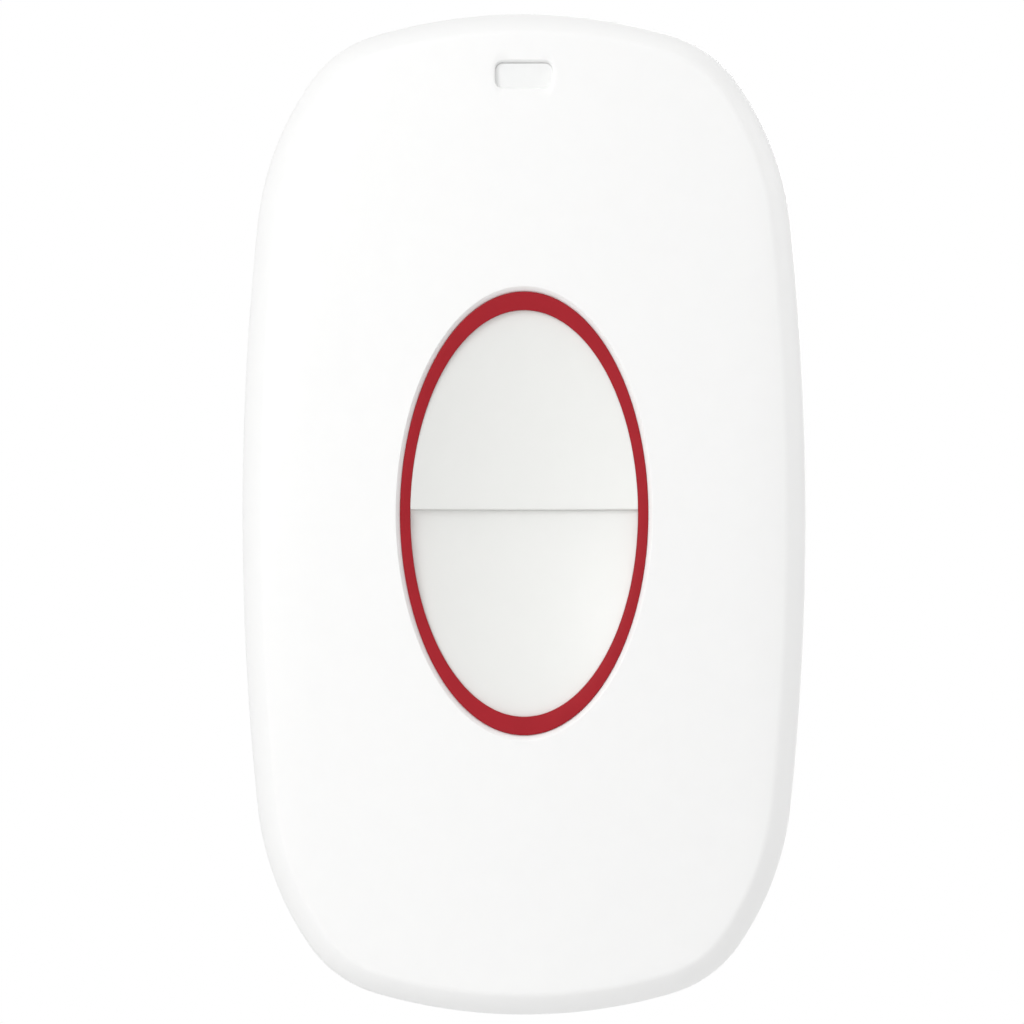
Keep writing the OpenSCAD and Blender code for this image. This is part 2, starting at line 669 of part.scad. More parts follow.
module front_cover() {
  color("whitesmoke")
    difference() {
      union() {
        ring_skin(front_rings, true);
        at_screws()
          translate([0, 0, front_edge_z])
            cylinder(r = front_boss_r, h = screw_boss_top - front_edge_z);
        at_board_screws()
          translate([0, 0, board_top_z + seat_gap])
            cylinder(r = board_boss_r, h = board_boss_top - board_top_z - seat_gap);
      }
      at_screws()
        translate([0, 0, front_edge_z - cut])
          cylinder(r = screw_pilot_r, h = screw_tip_z + pilot_spare + cut - front_edge_z);
      at_board_screws()
        translate([0, 0, board_top_z - cut])
          cylinder(r = board_pilot_r, h = board_tip_z + pilot_spare + cut - board_top_z);
      translate([0, window_y, lens_z])
        rounded_prism(window_w, window_h, window_r, body_d - lens_z);
    }
}

screw_seat_d = screw_sink + screw_head_h + seat_gap;
stop_in_r = plug_r + 2 * door_gap;
stop_out_r = door_r + 4 * door_gap;
stop_start = lug_half_angle + stop_angle;

module rear_cover() {
  color("gainsboro")
    difference() {
      union() {
        ring_skin(rear_rings, false);
        at_screws()
          translate([0, 0, back_wall / 2])
            cylinder(r = rear_boss_r, h = parting_z - back_wall / 2);
        for (y = [-bracket_y, bracket_y])
          translate([0, y, back_wall / 2])
            cylinder(r = bracket_boss_r, h = bracket_boss_h - back_wall / 2);
        translate([-pocket_block_x, bar_y - pocket_block_w / 2, back_wall / 2])
          cube([2 * pocket_block_x, pocket_block_w, pocket_block_h - back_wall / 2]);
        for (turn = [0, 180])
          for (a = [stop_start, -door_turn - stop_start])
            translate([0, 0, back_wall / 2])
              sector(stop_in_r, stop_out_r, lug_z + lug_h - back_wall / 2, turn + a, stop_angle / 2);
      }
      translate([0, 0, -cut])
        cylinder(r = door_r + door_gap, h = door_seat_h + cut);
      translate([0, 0, -cut])
        cylinder(r = plug_r + door_gap, h = back_wall + 2 * cut);
      for (turn = [0, 180])
        translate([0, 0, door_seat_h / 2])
          sector(plug_r - door_gap, door_r, back_wall, turn - door_turn, notch_half_angle);
      at_screws()
        translate([0, 0, -cut])
          cylinder(r = screw_seat_r, h = screw_seat_d + cut);
      at_screws()
        translate([0, 0, -cut])
          cylinder(r = screw_hole_r, h = parting_z + 2 * cut);
      for (y = [-bracket_y, bracket_y])
        translate([0, y, -cut])
          cylinder(r = bracket_hole_r, h = bracket_hole_d + cut);
      translate([-pocket_x, bar_y - pocket_w / 2, -cut])
        cube([2 * pocket_x, pocket_w, pocket_d + cut]);
      translate([-bar_x - seat_gap, bar_y, bar_z])
        rotate([0, 90, 0])
          cylinder(r = bar_r + pin_gap, h = bar_x + seat_gap + pocket_block_x + cut);
      translate([0, -label_y, -cut])
        linear_extrude(label_sink + cut)
          square([label_w + loose_gap, label_h + loose_gap], center = true);
    }
}

module case_seal() {
  color("dimgray")
    translate([0, 0, tongue_z + loose_gap / 2])
      difference() {
        linear_extrude(2 * loose_gap)
          polygon(outline(lip_w + loose_gap));
        translate([0, 0, -cut])
          linear_extrude(2 * loose_gap + 2 * cut)
            polygon(outline(side_wall - loose_gap / 2));
      }
}

module trim_ring() {
  in_x = ring_x * ring_inner_share;
  in_y = ring_y * ring_inner_share;
  color("crimson")
    ring_skin([
      oval_ring(in_x, in_y, ring_inner_z - ring_bevel),
      oval_ring(in_x + ring_bevel, in_y + ring_bevel, ring_inner_z),
      oval_ring(ring_x - ring_bevel, ring_y - ring_bevel, ring_outer_z),
      oval_ring(ring_x, ring_y, ring_outer_z - ring_bevel),
      oval_ring(ring_x, ring_y, ledge_z + seat_gap),
      oval_ring(in_x, in_y, ledge_z + seat_gap)
    ], true);
}

key_blank_h = ring_outer_z - flange_z;
dish_sweep = 11;

// Cutter for a key's face: curved tightly across and slightly along
module dish_cut(steps) {
  translate([0, 0, dish_long_r])
    rotate([0, 90, 0])
      rotate([0, 0, -dish_sweep])
        rotate_extrude(angle = 2 * dish_sweep, $fn = steps)
          translate([dish_long_r - dish_r, 0])
            circle(r = dish_r, $fn = 180);
}

module key_blank() {
  difference() {
    union() {
      translate([0, 0, flange_z])
        oval_prism(flange_x, flange_y, flange_h);
      translate([0, 0, flange_z])
        oval_prism(key_x, key_y, key_blank_h);
    }
    translate([0, 0, dish_z])
      dish_cut(720);
  }
}

module half_key() {
  difference() {
    key_blank();
    translate([-half_w, -half_h, 0])
      cube([body_w, half_h + key_seam / 2, body_d + cut]);
    difference() {
      translate([0, 0, flange_z - cut])
        oval_prism(key_x - key_wall, key_y - key_wall, key_hollow_z - flange_z + cut);
      translate([-half_w, -half_h, 0])
        cube([body_w, half_h + key_seam / 2 + key_wall, body_d]);
      translate([0, post_y, flange_z - 2 * cut])
        cylinder(r = post_r, h = body_d - flange_z);
    }
  }
  translate([0, post_y, sheet_top_z + seat_gap])
    cylinder(r = post_r, h = (flange_z + key_hollow_z) / 2 - sheet_top_z);
}

module upper_button() {
  color("white")
    half_key();
}

module lower_button() {
  color("white")
    difference() {
      rotate([0, 0, 180])
        half_key();
      translate([0, -key_seam / 2 - seam_ease_w, dish_z])
        rotate([-seam_ease_angle, 0, 0])
          dish_cut(720);
    }
}

module keypad_membrane() {
  color("darkgray")
    difference() {
      translate([0, 0, board_top_z + seat_gap])
        oval_prism(seal_pad_x, seal_pad_y, sheet_top_z - board_top_z - seat_gap);
      translate([0, 0, board_top_z - cut])
        oval_prism(seal_pad_x - skirt_wall, seal_pad_y - skirt_wall, sheet_z - board_top_z + cut);
      for (y = [-post_y, post_y])
        translate([0, y, sheet_z - cut])
          cylinder(r = pad_r + pad_gap, h = sheet_h + 2 * cut);
    }
}

module key_pad() {
  color("silver")
    translate([0, 0, sheet_z + seat_gap])
      cylinder(r = pad_r, h = sheet_h - seat_gap);
}

module switch_body() {
  color("dimgray")
    translate([0, 0, board_top_z + seat_gap])
      difference() {
        union() {
          translate([-switch_w / 2, -switch_w / 2, 0])
            cube([switch_w, switch_w, switch_h]);
          for (x = [-leg_pitch / 2, leg_pitch / 2])
            translate([x - leg_w / 2, -switch_w / 2 - leg_l, 0])
              cube([leg_w, switch_w + 2 * leg_l, leg_h]);
        }
        translate([0, 0, switch_floor_h])
          cylinder(r = switch_well_r, h = switch_h + cut);
      }
}

cover_z = board_top_z + switch_h + 2 * seat_gap;
module switch_cover() {
  color("silver")
    translate([0, 0, cover_z])
      difference() {
        translate([-switch_w / 2, -switch_w / 2, 0])
          cube([switch_w, switch_w, switch_cover_h]);
        translate([0, 0, -cut])
          cylinder(r = plunger_r + pad_gap, h = switch_cover_h + 2 * cut);
      }
}

foot_z = cover_z - seat_gap - plunger_foot_h;
module switch_plunger() {
  color("black")
    translate([0, 0, foot_z]) {
      cylinder(r = plunger_foot_r, h = plunger_foot_h);
      cylinder(r = plunger_r, h = sheet_z - foot_z);
    }
}

module indicator_lens() {
  lens_h = face_z([0, window_y]) - lens_sink - lens_z;
  color("aliceblue")
    translate([0, window_y, 0]) {
      translate([0, 0, lens_z])
        rounded_prism(window_w - 2 * lens_gap, window_h - 2 * lens_gap, window_r - lens_gap, lens_h);
      translate([0, 0, lens_z])
        rounded_prism(window_w + 2 * lens_rim, window_h + 2 * lens_rim, window_r + lens_rim, lens_rim_h);
    }
}

module light_shroud() {
  color("black")
    translate([0, window_y, board_top_z + seat_gap])
      difference() {
        linear_extrude(lens_z - board_top_z - 2 * seat_gap)
          square([shroud_w, shroud_h], center = true);
        translate([0, 0, -cut])
          linear_extrude(lens_z - board_top_z + 2 * cut)
            square([shroud_w - 2 * shroud_wall, shroud_h - 2 * shroud_wall], center = true);
      }
}

module indicator_leds() {
  color("khaki")
    for (x = [-lamp_x, lamp_x])
      translate([x, window_y, board_top_z + seat_gap]) {
        translate([-lamp_w / 2, -lamp_l / 2, 0])
          cube([lamp_w, lamp_l, lamp_h]);
        translate([0, 0, lamp_h / 2])
          cylinder(r = lamp_dome_r, h = lamp_h);
      }
}

module circuit_board() {
  color("seagreen")
    translate([0, 0, board_z])
      difference() {
        linear_extrude(board_h)
          polygon(outline(board_inset));
        at_screws()
          translate([0, 0, -cut])
            cylinder(r = front_boss_r + loose_gap, h = board_h + 2 * cut);
        at_board_screws()
          translate([0, 0, -cut])
            cylinder(r = board_pilot_r + loose_gap, h = board_h + 2 * cut);
        at_pegs()
          translate([0, 0, -cut])
            cylinder(r = peg_r + loose_gap / 2, h = board_h + 2 * cut);
      }
}

holder_in_r = cell_r + holder_gap;
holder_mid_r = holder_in_r + holder_wall / 2;
module at_pegs() {
  for (k = [0:peg_count - 1])
    rotate([0, 0, (k + 1 / 2) * 360 / peg_count])
      translate([holder_mid_r, 0, 0])
        children();
}

module cell_holder() {
  holder_top_z = board_z - seat_gap;
  color("darkslategray") {
    difference() {
      translate([0, 0, holder_z])
        cylinder(r = holder_in_r + holder_wall, h = holder_top_z - holder_z);
      translate([0, 0, holder_z - cut])
        cylinder(r = holder_in_r, h = board_z);
      translate([-plus_w / 2 - loose_gap, 0, holder_z - cut])
        cube([plus_w + 2 * loose_gap, body_w, board_z]);
    }
    at_pegs()
      translate([0, 0, (holder_z + holder_top_z) / 2])
        cylinder(r = peg_r, h = board_top_z - (holder_z + holder_top_z) / 2 - loose_gap);
  }
}

module cell_can() {
  color("silver")
    translate([0, 0, cell_z])
      rotate_extrude()
        polygon([
          [0, 0],
          [cell_r, 0],
          [cell_r, can_h - can_wall],
          [cell_r - can_wall, can_h],
          [cell_r - can_wall - can_lip, can_h],
          [cell_r - can_wall - can_lip, can_h - can_wall],
          [cell_r - can_wall, can_h - can_wall],
          [cell_r - can_wall, can_wall],
          [0, can_wall]
        ]);
}

seal_out_r = cell_r - can_wall - seat_gap;
module cell_seal() {
  color("dimgray")
    translate([0, 0, cell_z + can_wall + seat_gap])
      rotate_extrude()
        translate([cap_r + seat_gap, 0])
          square([seal_out_r - cap_r - seat_gap, can_h - 2 * can_wall - 2 * seat_gap]);
}

module cell_cap() {
  cap_h = cell_h - can_wall - seat_gap;
  color("lightsteelblue")
    translate([0, 0, cell_z + can_wall + seat_gap])
      rotate_extrude()
        polygon([
          [0, 0],
          [cap_r, 0],
          [cap_r, cap_h - cap_bevel],
          [cap_r - cap_bevel, cap_h],
          [0, cap_h]
        ]);
}

module positive_contact() {
  leaf_y = cell_r + seat_gap;
  color("goldenrod") {
    translate([-plus_w / 2, leaf_y, plus_z])
      cube([plus_w, contact_t, board_z - seat_gap - plus_z]);
    translate([-plus_w / 2, leaf_y, board_z - seat_gap - contact_t])
      cube([plus_w, plus_foot_l, contact_t]);
  }
}

module negative_contact() {
  plate_z = board_z - seat_gap - contact_t;
  tip_z = cell_z + cell_h + seat_gap;
  color("goldenrod") {
    translate([-minus_w / 2, -minus_l / 2, plate_z])
      cube([minus_w, minus_l, contact_t]);
    translate([0, 0, tip_z])
      cylinder(r1 = minus_tip_r, r2 = minus_base_r, h = plate_z + contact_t / 2 - tip_z);
  }
}

module battery_door() {
  color("lightgray")
    difference() {
      union() {
        cylinder(r = door_r, h = door_h);
        cylinder(r = plug_r, h = plug_z);
        for (turn = [0, 180])
          translate([0, 0, lug_z])
            sector(plug_r - seal_groove_d, lug_r, lug_h, turn, lug_half_angle);
      }
      translate([-coin_slot_l / 2, -coin_slot_w / 2, -cut])
        cube([coin_slot_l, coin_slot_w, coin_slot_d + cut]);
      translate([0, 0, seal_groove_z - seal_groove_w / 2])
        difference() {
          cylinder(r = plug_r + cut, h = seal_groove_w);
          translate([0, 0, -cut])
            cylinder(r = plug_r - seal_groove_d, h = seal_groove_w + 2 * cut);
        }
    }
}

module door_seal() {
  color("black")
    translate([0, 0, seal_groove_z])
      rotate_extrude()
        translate([plug_r - seal_groove_d + door_seal_r + pin_gap, 0])
          circle(r = door_seal_r);
}

module cross_cut() {
  for (turn = [0, 90])
    rotate([0, 0, turn])
      translate([-cross_l / 2, -cross_w / 2, -cut])
        cube([cross_l, cross_w, cross_d + cut]);
}

module case_screws() {
  color("silver")
    at_screws()
      translate([0, 0, screw_sink])
        difference() {
          union() {
            cylinder(r = screw_head_r, h = screw_head_h);
            cylinder(r = screw_r, h = screw_tip_z - screw_sink);
          }
          cross_cut();
        }
}

module board_screws() {
  head_z = board_z - seat_gap - board_head_h;
  color("silver")
    at_board_screws()
      translate([0, 0, head_z])
        difference() {
          union() {
            cylinder(r = board_head_r, h = board_head_h);
            cylinder(r = board_screw_r, h = board_tip_z - head_z);
          }
          cross_cut();
        }
}

module radio_chip() {
  color("black")
    translate([-chip_x, chip_y, board_top_z + seat_gap])
      difference() {
        translate([-chip_w / 2, -chip_w / 2, 0])
          cube([chip_w, chip_w, chip_h]);
        translate([-chip_w / 2 + 2 * chip_mark_r, chip_w / 2 - 2 * chip_mark_r, chip_h - chip_mark_d])
          cylinder(r = chip_mark_r, h = chip_h);
      }
}

module crystal_can() {
  color("silver")
    translate([crystal_x, crystal_y, board_top_z + seat_gap]) {
      linear_extrude(crystal_rim_h)
        square([crystal_w, crystal_l], center = true);
      linear_extrude(crystal_h)
        square([crystal_w - 2 * crystal_rim_h, crystal_l - 2 * crystal_rim_h], center = true);
    }
}

function small_x(k) = (k - (small_row_count - 1) / 2) * small_pitch;
small_row = [for (k = [0:small_row_count - 1]) [small_x(k), small_row_y]];
small_side = [for (x = [-small_side_x, small_side_x]) [x, small_side_y]];
small_low = [for (x = [-small_low_x, small_low_x]) [x, -small_low_y]];
module chip_parts() {
  color("sienna")
    for (p = concat(small_row, small_side, small_low))
      translate([p[0], p[1], board_top_z + seat_gap]) {
        translate([0, 0, small_end_lip])
          linear_extrude(small_h)
            square([small_l - small_end_l, small_w], center = true);
        for (x = [-1, 1])
          translate([x * (small_l - small_end_l) / 2, 0, 0])
            linear_extrude(small_h + 2 * small_end_lip)
              square([small_end_l, small_w + 2 * small_end_lip], center = true);
      }
}

module antenna_strip() {
  bridge_z = board_top_z + antenna_z;
  color("goldenrod") {
    for (x = [-antenna_x, antenna_x]) {
      translate([x - antenna_w / 2, antenna_y + antenna_l - antenna_h, board_top_z + seat_gap])
        cube([antenna_w, antenna_h, antenna_z + antenna_h - seat_gap]);
      translate([x - antenna_w / 2, antenna_y, bridge_z])
        cube([antenna_w, antenna_l, antenna_h]);
    }
    translate([-antenna_x - antenna_w / 2, antenna_y, bridge_z])
      cube([2 * antenna_x + antenna_w, antenna_w, antenna_h]);
  }
}

module lanyard_bar() {
  color("silver")
    translate([-bar_x, bar_y, bar_z])
      rotate([0, 90, 0])
        cylinder(r = bar_r, h = 2 * bar_x);
}

module rating_label() {
  color("white")
    translate([0, -label_y, label_sink - label_t - seat_gap / 2])
      linear_extrude(label_t)
        square([label_w, label_h], center = true);
}

module upper_place() {
  translate([0, post_y, 0])
    children();
}

module lower_place() {
  translate([0, -post_y, 0])
    children();
}

upright() front_cover();
upright() rear_cover();
upright() case_seal();
upright() trim_ring();
upright() upper_button();
upright() lower_button();
upright() keypad_membrane();
upright() upper_place() key_pad();  // upper_pad
upright() lower_place() key_pad();  // lower_pad
upright() indicator_lens();
upright() light_shroud();
upright() indicator_leds();
upright() circuit_board();
upright() upper_place() switch_body();  // upper_switch_body
upright() upper_place() switch_cover();  // upper_switch_cover
upright() upper_place() switch_plunger();  // upper_switch_plunger
upright() lower_place() switch_body();  // lower_switch_body
upright() lower_place() switch_cover();  // lower_switch_cover
upright() lower_place() switch_plunger();  // lower_switch_plunger
upright() radio_chip();
upright() crystal_can();
upright() chip_parts();
upright() antenna_strip();
upright() cell_holder();
upright() cell_can();
upright() cell_seal();
upright() cell_cap();
upright() positive_contact();
upright() negative_contact();
upright() battery_door();
upright() door_seal();
upright() case_screws();
upright() board_screws();
upright() lanyard_bar();
upright() rating_label();
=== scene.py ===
import json
import math

import bmesh
import bpy
import numpy as np
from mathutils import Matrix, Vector


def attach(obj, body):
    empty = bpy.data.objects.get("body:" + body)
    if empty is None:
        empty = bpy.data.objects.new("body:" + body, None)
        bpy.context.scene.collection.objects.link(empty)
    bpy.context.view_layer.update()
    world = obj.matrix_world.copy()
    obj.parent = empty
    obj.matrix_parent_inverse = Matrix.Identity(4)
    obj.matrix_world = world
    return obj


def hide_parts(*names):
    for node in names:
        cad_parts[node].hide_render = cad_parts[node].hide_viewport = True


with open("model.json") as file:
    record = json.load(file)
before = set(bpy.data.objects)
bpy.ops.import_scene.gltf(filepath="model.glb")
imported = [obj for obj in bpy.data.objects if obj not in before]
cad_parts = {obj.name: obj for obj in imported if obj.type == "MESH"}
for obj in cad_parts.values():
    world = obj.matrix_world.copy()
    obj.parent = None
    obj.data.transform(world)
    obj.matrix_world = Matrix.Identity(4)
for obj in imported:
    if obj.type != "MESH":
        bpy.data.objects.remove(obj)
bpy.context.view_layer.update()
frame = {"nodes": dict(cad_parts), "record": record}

# Sizes in millimetres, as in the part's source: x across, y up, z from the back face to the front.

# Outline: four arcs to a quarter, and the angles in degrees where they meet
HALF_W, HALF_H, DEPTH = 19.0, 33.75, 14.0
SHOULDER_R, CORNER_R = 20.35, 8.19
ARC_ENDS = (0.0, 5.9, 34.8, 73.6, 90.0)
ARC_STEPS = (26, 18, 20, 20)

# Front face: its crown both ways, and the fall at the sides
CROWN_X, CROWN_Y, FALL_X, FALL_R = 108.0, 278.0, 14.5, 21.7

# Rolled band round the face, between two slopes in degrees; its ends are blended
RIM_R, RIM_ANGLE, RIM_LOW = 4.2, 50.0, 18.0
RIM_TOP_BLEND, RIM_LOW_BLEND = 3, 4
RIM_RINGS = np.linspace(44.0, 25.0, 7)
CREASE_BLEND, SIDE_BLEND = 0.25, 0.35

# Shells: walls, parting line with its tongue, and the edges that are broken there
SIDE_WALL, FRONT_WALL, BACK_WALL, REAR_R = 1.8, 1.6, 1.6, 2.0
PARTING, PARTING_GAP, TONGUE, LIP = 5.6, 0.08, 6.4, 0.95
TONGUE_GAP, TONGUE_ROOM = 0.05, 0.3
SHELL_EDGE, SHELL_EDGE_MID = 0.1, 0.03
ROOF_DROP, ROOF_INSET, REAR_WALL_Z = 3.2, 1.4, 3.8

# Oval opening, with its broken edge as shares of the edge's width and depth
OPEN_X, OPEN_Y, OPEN_EDGE_W, OPEN_EDGE_D, OPEN_END_GROWTH = 8.375, 14.955, 0.31, 0.34, 1.25
OPEN_EDGE = ((0, 1.04), (0.02, 0.99), (0.84, 0.1))
OPEN_EDGE_EASE = ((0.88, 0.055), (0.92, 0.024), (0.96, 0.006), (1, 0))
# Face rings from the opening to the crease; the first lies close to the edge and holds its shading
FACE_SHARES = np.r_[0.006, np.arange(1, 15) / 15]
SLEEVE, SLEEVE_Z = 1.2, 9.85
LEDGE_X, LEDGE_Y, LEDGE_Z = 8.2, 14.4, 11.0

# Red ring
RING_X, RING_Y, RING_SHARE, RING_OUT_Z, RING_IN_Z = 8.37, 14.95, 0.917, 13.38, 13.22
RING_FOOT_GAP, RING_IN_EDGE, RING_OUT_EDGE = 0.02, 0.04, 0.08

# Keys: half ovals that meet at the seam, a little above the middle
KEY_X, KEY_Y, SEAM, SEAM_Y = 7.67, 13.704, 0.01, 0.25
KEY_EDGE, KEY_EDGE_AT_SEAM, KEY_FOOT_Z, KEY_WALL_Z = 0.025, 0.7, 10.95, 11.15
DISH_R, DISH_LONG_R, DISH_Z = 22.0, 90.0, 11.81
UPPER_LIP, UPPER_LIP_W = 0.07, 0.14
LOWER_STEP, LOWER_START, LOWER_RISE = 0.48, 0.3, 11.0
LOWER_LIP, LOWER_LIP_W = 0.08, 0.62
KEY_COLUMNS, KEY_ROWS, KEY_TIP = 72, 60, 0.004
FLANGE_X, FLANGE_Y, FLANGE_Z, FLANGE_TIP = 8.1, 14.3, 10.4, 0.003
POST_R, POST_Y, POST_Z, POST_TOP = 1.6, 6.6, 9.82, 10.5
# Distances of the first rows from the seam, closest together at the lip
SEAM_ROWS = np.array(
    [0, 0.03, 0.06, 0.09, 0.13, 0.17, 0.23, 0.3, 0.38, 0.47, 0.57, 0.68, 0.8, 0.94]
    + [1.08, 1.22, 1.38, 1.56, 1.76, 1.98, 2.22, 2.56, 2.9, 3.25, 3.6, 4.0, 4.45]
)

# Window and its lens; the pane is the part of the lens that shows
WINDOW_W, WINDOW_H, WINDOW_R, WINDOW_X, WINDOW_Y = 3.93, 1.96, 0.6, -0.03, 29.61
PANE_LESS_W, PANE_LESS_H, PANE_LESS_R, PANE_Y = 0.12, 0.32, 0.12, -0.06
WINDOW_EDGE = ((-0.02, -0.06), (0.015, -0.025), (0.06, 0), (0.06, 0.2))
LENS_SINK, LENS_Z, LENS_FIT, LENS_EDGE, LENS_CROWN = 0.42, 9.4, 1.003, 0.96, 0.02
LENS_RIM, LENS_RIM_D = 0.4, 0.5
CUT_BELOW_LENS, LENS_SEAT = 0.5, 0.03

# Back: screws, bracket holes, cord pocket, label and battery door
SCREWS = [(sx * 11.5, sy * 25.0) for sx in (-1, 1) for sy in (-1, 1)]
SCREW_SEAT_R, SCREW_SEAT_D = 2.0, 1.37
BRACKET_R, BRACKET_D, BRACKET_Y, BRACKET_EDGE = 0.85, 1.5, 22.0, 0.08
POCKET, POCKET_AT = (12.0, 4.0, 0.35, 6), (0.0, 27.8)
POCKET_EDGE = ((0.15, -0.5), (0.15, 0), (0.05, 0.05), (0, 0.15), (0, 1.5))
LABEL, LABEL_AT = (15.0, 4.2, 0.3, 5), np.array([0.0, -27.8])
LABEL_SEAT, LABEL_SEAT_D = (15.1, 4.3, 0.3, 5), 0.13
LABEL_FACE_Z, LABEL_UNDER_Z, LABEL_TAPER = 0.02, 0.12, 0.999
DOOR_SEAT_R, DOOR_SEAT_D = 12.1, 0.8
DOOR_R, DOOR_EDGE, DOOR_FACE_R, DOOR_FLANGE_D = 12.0, 0.12, 11.0, 0.75
# The door's neck with the groove for its seal, in (radius, depth) pairs
DOOR_NECK = [(10.9, 0.75), (10.9, 0.99), (10.4, 0.99), (10.4, 1.51), (10.9, 1.51), (10.9, 2.45)]
COIN_SLOT = (14.0, 1.8, 0.6, 8)
COIN_SLOT_EDGE = ((0.15, -0.4), (0.15, 0), (0.05, 0.05), (0, 0.14), (0, 0.9))

# Shading: angles in degrees that stay sharp, and the area in square metres that is a flat face's
SHARP, KEY_SHARP, NODE_SHARP = 35.0, 40.0, 30.0
FLAT_AREA = 4e-6
# Reach of a weld in metres, and the radius in millimetres that stands in for none
WELD, SMALLEST_R = 1e-6, 1e-4


def closing_radii():
    """Radii of the four arcs; the first and the last make the outline close."""
    t = np.radians(ARC_ENDS)
    c = np.cos(t[:-1]) - np.cos(t[1:])
    s = np.sin(t[1:]) - np.sin(t[:-1])
    m = np.array([[c[0], c[3]], [s[0], s[3]]])
    across = HALF_W - SHOULDER_R * c[1] - CORNER_R * c[2]
    up = HALF_H - SHOULDER_R * s[1] - CORNER_R * s[2]
    side, end = np.linalg.solve(m, np.array([across, up]))
    return (side, SHOULDER_R, CORNER_R, end)


def outline_frame():
    """Arc centres, radii and unit normals of the outline's points, once round."""
    radii = closing_radii()
    ends = np.radians(ARC_ENDS)
    centre = np.array([HALF_W - radii[0], 0.0])
    quarter = []
    for i in range(4):
        if i:
            meeting = np.array([math.cos(ends[i]), math.sin(ends[i])])
            centre = centre + (radii[i - 1] - radii[i]) * meeting
        for k in range(ARC_STEPS[i]):
            a = ends[i] + (ends[i + 1] - ends[i]) * k / ARC_STEPS[i]
            quarter.append((centre[0], centre[1], radii[i], math.cos(a), math.sin(a)))
    top = (centre[0], centre[1], radii[3], 0.0, 1.0)
    mirrored = [(-x, y, r, -nx, ny) for x, y, r, nx, ny in quarter[:0:-1]]
    half = quarter + [top] + mirrored
    full = np.array(half + [(-x, -y, r, -nx, -ny) for x, y, r, nx, ny in half])
    return full[:, :2], full[:, 2:3], full[:, 3:]


CENTRES, RADII, NORMALS = outline_frame()


def outline(inset):
    return CENTRES + (RADII - inset) * NORMALS


# The ovals take as many points as the outline, so that walls can run from one to the other
EDGE = outline(0.0)
OVAL_ANGLE = np.arctan2(EDGE[:, 1] / OPEN_Y, EDGE[:, 0] / OPEN_X)


def oval(rx, ry):
    return np.c_[rx * np.cos(OVAL_ANGLE), ry * np.sin(OVAL_ANGLE)]


def face_z(p):
    """Height of the front face at points."""
    fall = np.maximum(0, np.abs(p[:, 0]) - FALL_X) ** 2 / (2 * FALL_R)
    return DEPTH - p[:, 0] ** 2 / (2 * CROWN_X) - p[:, 1] ** 2 / (2 * CROWN_Y) - fall


def lift(p, z):
    return np.c_[p, np.broadcast_to(z, len(p))]


def to_world(p):
    """Part millimetres to frame metres."""
    p = np.asarray(p, float)
    return np.c_[p[:, 0], -p[:, 2], p[:, 1]] / 1000.0


def finish_mesh(me, sharp):
    """Smooth shading, but large flat faces keep their own normal."""
    for p in me.polygons:
        p.use_smooth = True
    # This resets the faces' smooth flags, so the flat ones come after it
    me.set_sharp_from_angle(angle=math.radians(sharp))
    for p in me.polygons:
        p.use_smooth = p.area < FLAT_AREA
    me.update()


def make_mesh(name, parts, sharp=SHARP):
    """One object from (vertices in mm, faces) parts."""
    verts, faces, base = [], [], 0
    for v, f in parts:
        verts.append(to_world(v))
        faces += [tuple(base + i for i in face) for face in f]
        base += len(v)
    me = bpy.data.meshes.new(name)
    me.from_pydata(np.vstack(verts).tolist(), [], faces)
    me.validate()
    bm = bmesh.new()
    bm.from_mesh(me)
    bmesh.ops.recalc_face_normals(bm, faces=bm.faces)
    bm.to_mesh(me)
    bm.free()
    finish_mesh(me, sharp)
    ob = bpy.data.objects.new(name, me)
    bpy.context.scene.collection.objects.link(ob)
    return ob


def skin(rings, closed=False, flip=False, caps=(True, True)):
    """Walls through rings of equal length, with flat caps at the ends of an open skin."""
    n, m = len(rings[0]), len(rings)
    faces = []
    for j in range(m if closed else m - 1):
        a, b = j * n, ((j + 1) % m) * n
        for i in range(n):
            k = (i + 1) % n
            faces.append((a + i, a + k, b + k, b + i))
    if caps[0] and not closed:
        faces.append(tuple(range(n))[::-1])
    if caps[1] and not closed:
        faces.append(tuple((m - 1) * n + i for i in range(n)))
    if flip:
        faces = [f[::-1] for f in faces]
    return np.vstack(rings), faces


def lathe(profile, n=96, centre=(0.0, 0.0), squash=1.0, closed=False, flip=False):
    """A turned skin from (radius, z) pairs; squash narrows x."""
    a = np.arange(n) * 2 * math.pi / n
    rings = []
    for r, z in profile:
        r = max(r, SMALLEST_R)
        rings.append(lift(np.c_[r * np.cos(a) * squash, r * np.sin(a)] + centre, z))
    return skin(rings, closed=closed, flip=flip)


def rounded_rect(w, h, r, steps=10):
    pts = []
    for q in range(4):
        sx = 1 if q in (0, 3) else -1
        sy = 1 if q < 2 else -1
        for k in range(steps + 1):
            a = math.pi / 2 * (q + k / steps)
            pts.append((sx * (w / 2 - r) + r * math.cos(a), sy * (h / 2 - r) + r * math.sin(a)))
    return np.array(pts)


def growth(w, h, r, steps=10):
    """How the points of a rounded rectangle move when it grows by 1 mm all round."""
    return rounded_rect(w + 2, h + 2, r + 1, steps) - rounded_rect(w, h, r, steps)


def arc(n):
    """Angles of a quarter turn."""
    return [math.radians(90.0 * k / n) for k in range(n + 1)]


def blend(before, corner, after, steps=6):
    """Rings that round a corner."""
    ts = np.linspace(0, 1, steps)
    return [(1 - t) ** 2 * before + 2 * t * (1 - t) * corner + t * t * after for t in ts]


def weld(ob):
    bm = bmesh.new()
    bm.from_mesh(ob.data)
    bmesh.ops.remove_doubles(bm, verts=bm.verts, dist=WELD)
    bm.to_mesh(ob.data)
    bm.free()


